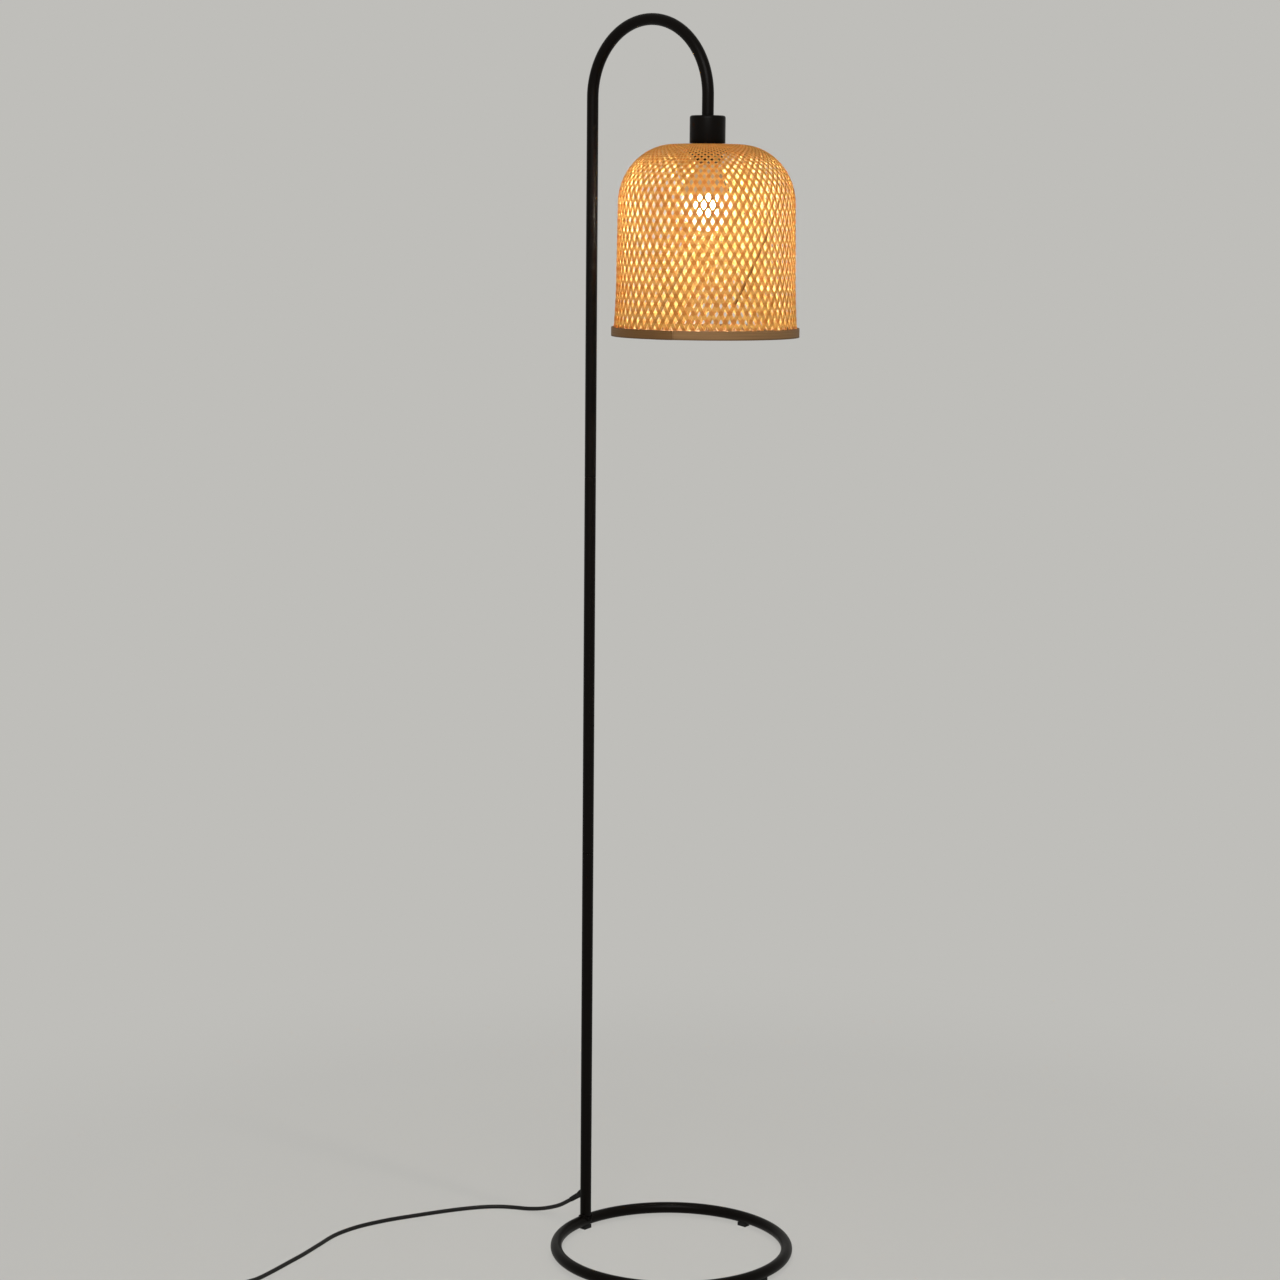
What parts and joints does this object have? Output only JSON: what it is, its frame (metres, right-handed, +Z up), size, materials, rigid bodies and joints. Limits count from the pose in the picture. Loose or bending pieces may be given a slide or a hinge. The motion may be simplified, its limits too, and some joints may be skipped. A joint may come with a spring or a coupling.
{
  "type": "floor lamp",
  "caption": "Floor lamp with a ring base, a hooked tube pole and a woven bell shade over a screw-in bulb, with a foot switch and plug on its cord.",
  "frame": {"origin": "centre of the ring base on the floor", "axes": "+Z up along the pole, +X from the pole towards the shade, +Y completing a right-handed frame"},
  "size_m": [0.5083, 0.7414, 1.514],
  "materials": {
    "black_paint": "satin black powder coat",
    "steel": "plain zinc-plated steel",
    "brass": "bare brass",
    "nickel": "nickel plate",
    "black_rubber": "matt black rubber",
    "black_plastic": "fine matt black plastic",
    "black_sheath": "smooth black cord sheath",
    "white_plastic": "matt white plastic",
    "bamboo_weave": "thin peeled bamboo strips, matt",
    "bamboo_rim": "split bamboo band, low sheen",
    "opal_globe": "milky diffuser, lit",
    "black_insulator": "black glassy insulator",
    "brown_core": "brown core insulation",
    "blue_core": "blue core insulation"
  },
  "bodies": {
    "stand": {"base_ring": "black_paint", "foot_pad_front": "black_rubber", "foot_pad_left": "black_rubber", "foot_pad_rear": "black_rubber", "foot_pad_right": "black_rubber", "foot_weld": "black_paint", "pole_lower": "black_paint", "pole_middle": "black_paint", "crook_tube": "black_paint", "lower_pole_bush": "steel", "middle_pole_stud": "steel", "middle_pole_bush": "steel", "crook_stud": "steel", "crook_end_bush": "steel", "holder_nipple": "steel", "lamp_cup": "black_paint", "holder_locknut": "steel", "holder_cap": "black_plastic", "holder_terminal_block": "black_plastic", "holder_body": "black_plastic", "holder_screw_shell": "brass", "holder_centre_contact": "brass", "shade_ring": "black_plastic", "shade_fitter": "steel", "woven_shade": "bamboo_weave", "shade_rim_outer": "bamboo_rim", "shade_rim_inner": "bamboo_rim", "cord_outlet_sleeve": "black_rubber", "inner_flex": "black_sheath", "flex_core_live": "brown_core", "flex_core_neutral": "blue_core", "cord_run": "black_sheath", "cord_link": "black_sheath", "cord_coil": "black_sheath", "cord_tail": "black_sheath", "coil_tie": "black_plastic", "switch_base": "black_plastic", "switch_cover": "black_plastic", "switch_screw_rear": "steel", "switch_screw_front": "steel", "switch_spring": "steel", "switch_terminal_in": "brass", "switch_terminal_out": "brass", "switch_boot_out": "black_rubber", "switch_boot_in": "black_rubber", "plug_body": "black_plastic", "plug_pin_left": "nickel", "plug_pin_right": "nickel", "plug_boot": "black_rubber"},
    "bulb": {"bulb_globe": "opal_globe", "bulb_housing": "white_plastic", "bulb_led_board": "white_plastic", "bulb_screw_cap": "nickel", "bulb_insulator": "black_insulator", "bulb_contact": "nickel"},
    "switch_button": {"switch_button": "black_plastic", "switch_bridge": "brass"}
  },
  "joints": [
    {"name": "bulb_screw", "type": "hinge", "parent": "stand", "child": "bulb", "pos_m": [0.037, 0, 1.29], "axis": [0, 0, -1], "range_deg": [0, 1080]},
    {"name": "switch_press", "type": "slide", "parent": "stand", "child": "switch_button", "axis": [0, 0, -1], "range_m": [0, 0.003], "stiffness_N_per_m": 800, "springref_m": -0.004, "deforming": ["switch_spring"]}
  ]
}
